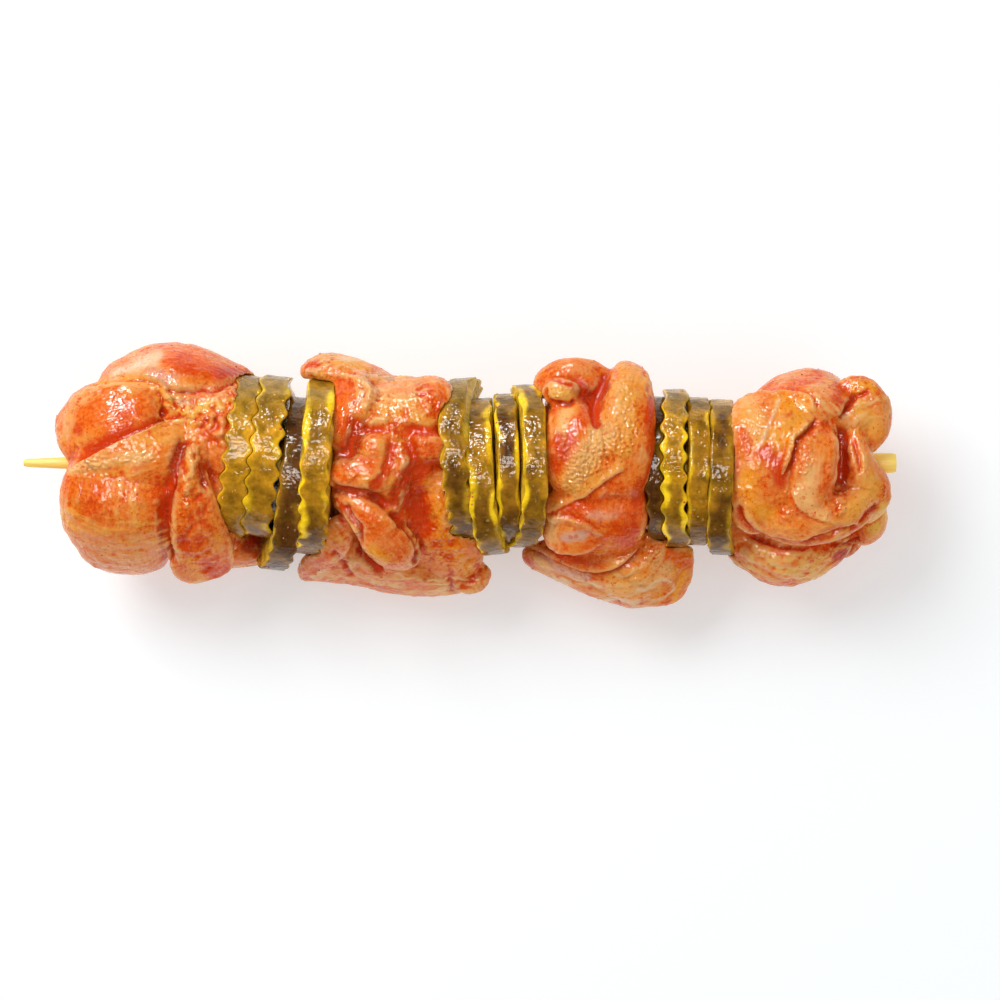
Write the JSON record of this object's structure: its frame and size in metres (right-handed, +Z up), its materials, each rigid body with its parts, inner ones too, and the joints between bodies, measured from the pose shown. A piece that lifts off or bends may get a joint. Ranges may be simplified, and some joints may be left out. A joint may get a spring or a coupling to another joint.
{
  "type": "chicken kebab skewer",
  "caption": "Raw marinated chicken pieces and crinkle-cut pickle slices threaded on a round bamboo skewer, lying on its side.",
  "frame": {"origin": "on the surface that the kebab lies on, under the centre of its box", "axes": "+X along the skewer towards its blunt end, +Z up, away from the surface"},
  "size_m": [0.203, 0.06, 0.0441],
  "materials": {
    "marinated_meat": "wet, pink-orange raw flesh with a red-orange marinade",
    "pickle": "wet, translucent olive-yellow with a darker skin",
    "bamboo": "plain, fine straight grain"
  },
  "bodies": {
    "root": {"skewer": "bamboo", "meat_1": "marinated_meat", "meat_2": "marinated_meat", "meat_3": "marinated_meat", "meat_4": "marinated_meat", "pickle_left_1": "pickle", "pickle_left_2": "pickle", "pickle_left_3": "pickle", "pickle_left_4": "pickle", "pickle_middle_1": "pickle", "pickle_middle_2": "pickle", "pickle_middle_3": "pickle", "pickle_middle_4": "pickle", "pickle_right_1": "pickle", "pickle_right_2": "pickle", "pickle_right_3": "pickle", "pickle_right_4": "pickle"}
  },
  "joints": []
}
